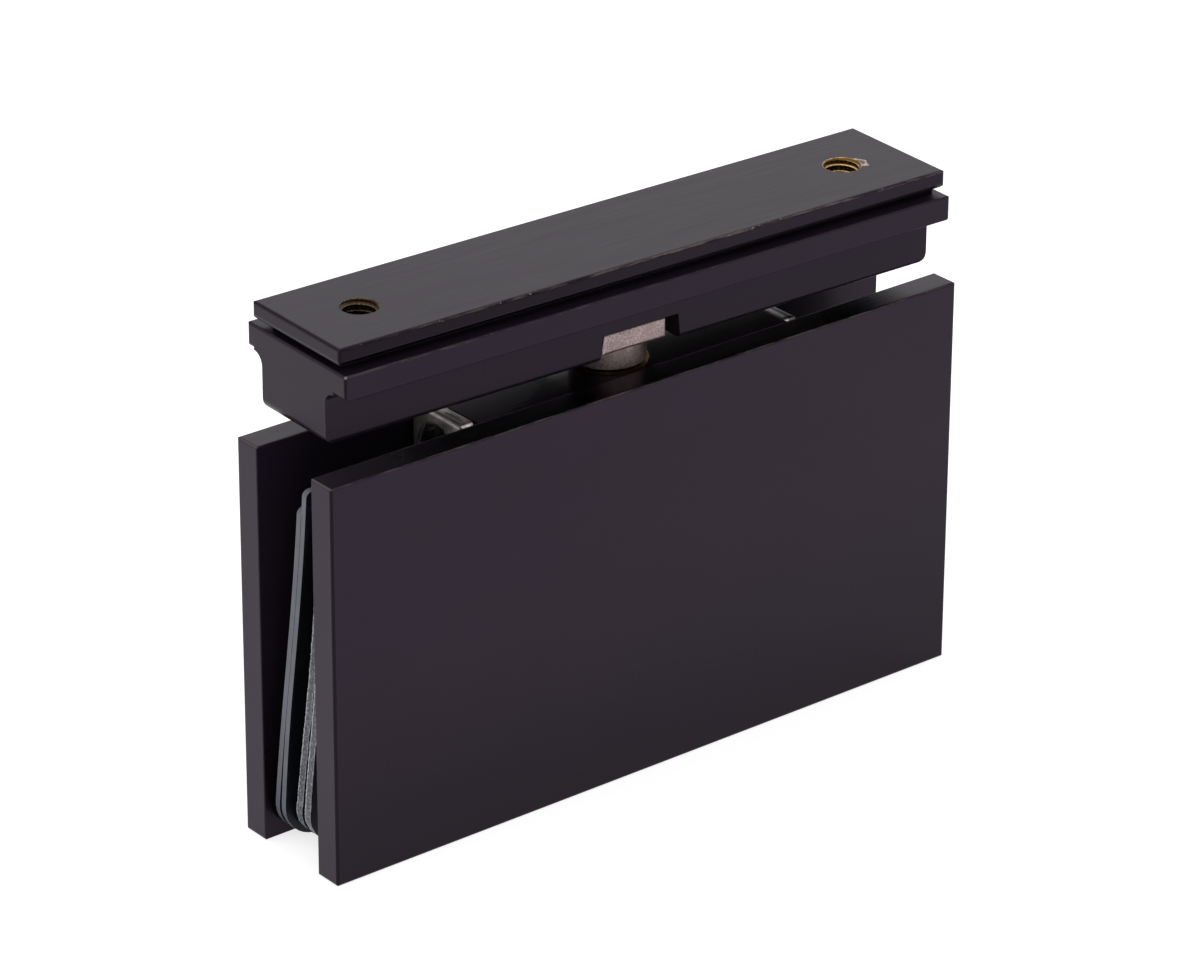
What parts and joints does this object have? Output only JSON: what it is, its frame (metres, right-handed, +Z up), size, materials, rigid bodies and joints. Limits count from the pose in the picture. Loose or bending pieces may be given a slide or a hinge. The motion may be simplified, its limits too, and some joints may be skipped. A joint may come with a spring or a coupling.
{
  "type": "pivot hinge",
  "caption": "Glass door pivot hinge: clamp plates on a core block turn about a steel pin that a T-section carrier with a tapped bar holds.",
  "frame": {"origin": "foot of the pivot axis, on the surface that the clamp plates stand on", "axes": "+X along the plates, +Y from the front plate to the back plate, +Z up along the pivot axis"},
  "size_m": [0.12, 0.028, 0.0851],
  "materials": {
    "black_brass": "satin black coating over brass",
    "steel": "brushed stainless steel",
    "dark_steel": "oiled dark steel",
    "bright_plate": "bright nickel plate",
    "bare_brass": "bare brass",
    "bronze": "sintered bronze",
    "clear_vinyl": "clear soft vinyl with a cut edge",
    "frosted_vinyl": "frosted vinyl with a rough cut edge",
    "black_fibre": "matt black fibre"
  },
  "bodies": {
    "clamp": {"front_plate": "black_brass", "back_plate": "black_brass", "core_block": "black_brass", "pin_bush": "bronze", "thrust_washer": "bare_brass", "end_plate_left": "bright_plate", "end_plate_right": "bright_plate", "end_plate_screws": "dark_steel", "adjuster_left": "steel", "adjuster_right": "steel", "spring_left": "dark_steel", "spring_right": "dark_steel", "plate_screws": "dark_steel", "clear_gasket_back": "clear_vinyl", "clear_gasket_front": "clear_vinyl", "frosted_gasket_back": "frosted_vinyl", "frosted_gasket_front": "frosted_vinyl"},
    "mount": {"pivot_pin": "steel", "retaining_ring": "dark_steel", "pivot_carrier": "black_brass", "pin_screw": "dark_steel", "bar_shim": "black_fibre", "mount_bar": "black_brass"},
    "detent_left": {"plunger_left": "steel"},
    "detent_right": {"plunger_right": "steel"}
  },
  "joints": [
    {"name": "pivot", "type": "hinge", "parent": "clamp", "child": "mount", "pos_m": [0, 0, 0.065], "axis": [0, 0, 1], "range_deg": [-88.33, 91.67]},
    {"name": "detent_left_slide", "type": "slide", "parent": "clamp", "child": "detent_left", "axis": [1, 0, 0], "range_m": [0, 0.0008], "stiffness_N_per_m": 4000, "springref_m": 0.005, "deforming": ["spring_left"]},
    {"name": "detent_right_slide", "type": "slide", "parent": "clamp", "child": "detent_right", "axis": [-1, 0, 0], "range_m": [0, 0.0008], "stiffness_N_per_m": 4000, "springref_m": 0.005, "deforming": ["spring_right"]}
  ]
}
